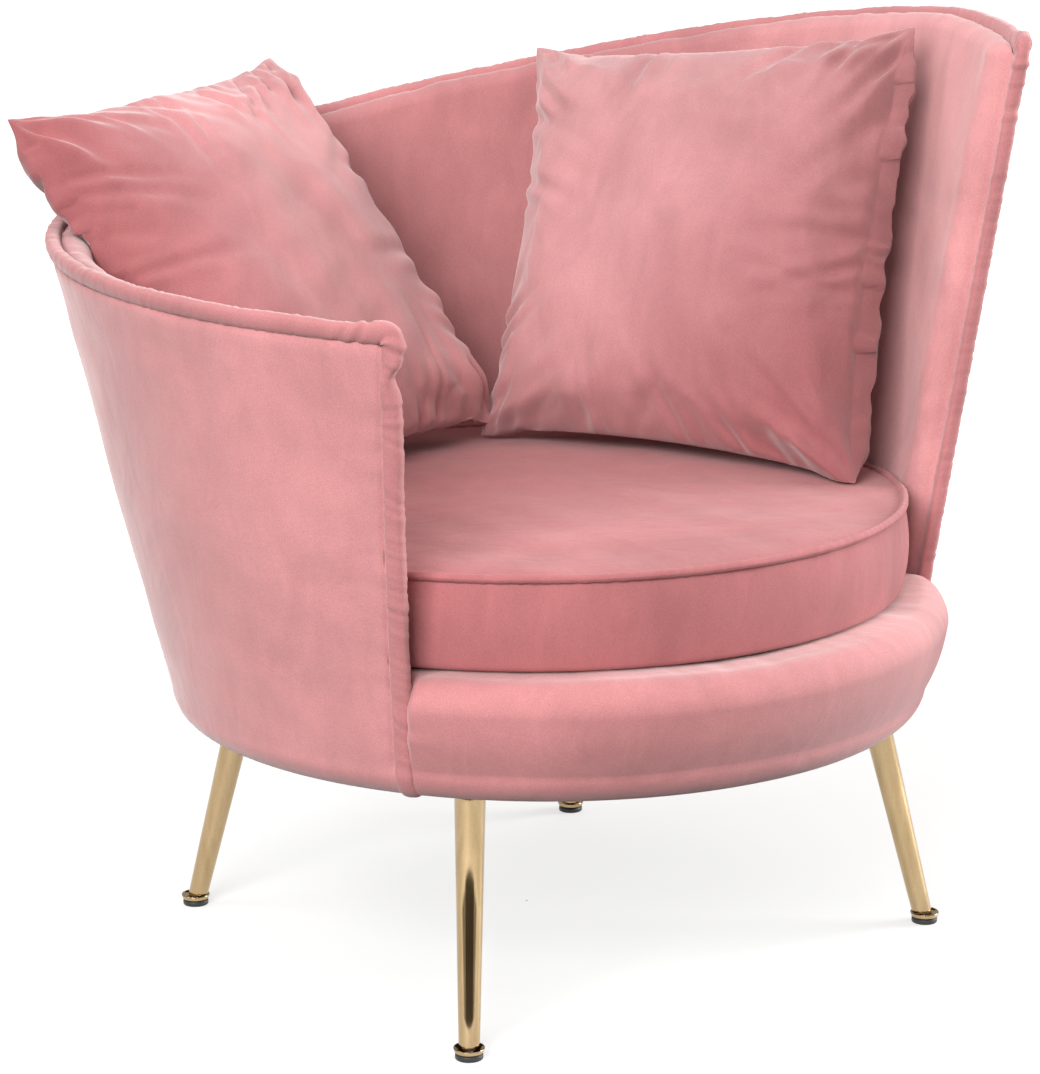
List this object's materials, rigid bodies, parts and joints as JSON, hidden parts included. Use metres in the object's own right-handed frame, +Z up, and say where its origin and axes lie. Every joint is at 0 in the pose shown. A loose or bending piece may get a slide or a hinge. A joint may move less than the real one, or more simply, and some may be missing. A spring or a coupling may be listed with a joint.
{
  "type": "upholstered tub armchair",
  "caption": "Round velvet tub armchair whose rim sweeps up from a low arm to a high corner, with a loose seat cushion, scatter pillows and splayed brass legs.",
  "frame": {"origin": "on the floor, at the middle of the chair's footprint box", "axes": "+Z up; the seat opens towards -Y; +X is the side of the high corner"},
  "size_m": [0.857, 0.8126, 0.8031],
  "materials": {
    "velvet": "short-pile velvet, dusty pink",
    "lining": "black non-woven lining",
    "foam": "open-cell foam, out of sight",
    "fibre": "polyester fibre filling, out of sight",
    "plywood": "raw plywood, out of sight",
    "hardboard": "raw hardboard, out of sight",
    "brass": "polished brass plate on steel tube",
    "steel": "zinc-plated steel",
    "black_plastic": "matte black plastic"
  },
  "bodies": {
    "chair": {"base_front_cover": "velvet", "base_front_foam": "foam", "base_post_front": "plywood", "base_post_left_back": "plywood", "base_post_left_front": "plywood", "base_post_right_back": "plywood", "base_post_right_front": "plywood", "base_ring_lower": "plywood", "base_ring_upper": "plywood", "deck_pad": "foam", "dust_cover": "lining", "leg_back_left": "brass", "leg_back_right": "brass", "leg_front_left": "brass", "leg_front_right": "brass", "leg_screw_back_left_1": "steel", "leg_screw_back_left_2": "steel", "leg_screw_back_right_1": "steel", "leg_screw_back_right_2": "steel", "leg_screw_front_left_1": "steel", "leg_screw_front_left_2": "steel", "leg_screw_front_right_1": "steel", "leg_screw_front_right_2": "steel", "seat_spring_1": "steel", "seat_spring_2": "steel", "seat_spring_3": "steel", "seat_spring_4": "steel", "shell_board": "hardboard", "shell_cover_inner": "velvet", "shell_cover_outer": "velvet", "shell_foam": "foam", "shell_post_left_back": "plywood", "shell_post_left_front": "plywood", "shell_post_right_back": "plywood", "shell_post_right_front": "plywood", "shell_rail": "plywood", "shell_welt": "velvet"},
    "seat_cushion": {"cushion_bottom_panel": "velvet", "cushion_boxing": "velvet", "cushion_core": "foam", "cushion_piping": "velvet", "cushion_top_panel": "velvet"},
    "pillow_left": {"pillow_left_back_panel": "velvet", "pillow_left_filling": "fibre", "pillow_left_front_panel": "velvet"},
    "pillow_right": {"pillow_right_back_panel": "velvet", "pillow_right_filling": "fibre", "pillow_right_front_panel": "velvet"},
    "glide_front_left": {"glide_cup_front_left": "brass", "glide_pad_front_left": "black_plastic", "glide_stem_front_left": "steel"},
    "glide_front_right": {"glide_cup_front_right": "brass", "glide_pad_front_right": "black_plastic", "glide_stem_front_right": "steel"},
    "glide_back_left": {"glide_cup_back_left": "brass", "glide_pad_back_left": "black_plastic", "glide_stem_back_left": "steel"},
    "glide_back_right": {"glide_cup_back_right": "brass", "glide_pad_back_right": "black_plastic", "glide_stem_back_right": "steel"}
  },
  "joints": [
    {"name": "cushion_lift", "type": "slide", "parent": "chair", "child": "seat_cushion", "axis": [0, 0, 1], "range_m": [0, 0.45]},
    {"name": "pillow_left_lift", "type": "slide", "parent": "seat_cushion", "child": "pillow_left", "axis": [0, 0, 1], "range_m": [0, 0.45]},
    {"name": "pillow_right_lift", "type": "slide", "parent": "seat_cushion", "child": "pillow_right", "axis": [0, 0, 1], "range_m": [0, 0.45]},
    {"name": "glide_front_left_travel", "type": "slide", "parent": "chair", "child": "glide_front_left", "axis": [-0.1588, -0.1892, -0.969], "range_m": [0, 0.0075]},
    {"name": "glide_front_right_travel", "type": "slide", "parent": "chair", "child": "glide_front_right", "axis": [0.1588, -0.1892, -0.969], "range_m": [0, 0.0075]},
    {"name": "glide_back_left_travel", "type": "slide", "parent": "chair", "child": "glide_back_left", "axis": [-0.1588, 0.1892, -0.969], "range_m": [0, 0.0075]},
    {"name": "glide_back_right_travel", "type": "slide", "parent": "chair", "child": "glide_back_right", "axis": [0.1588, 0.1892, -0.969], "range_m": [0, 0.0075]}
  ]
}
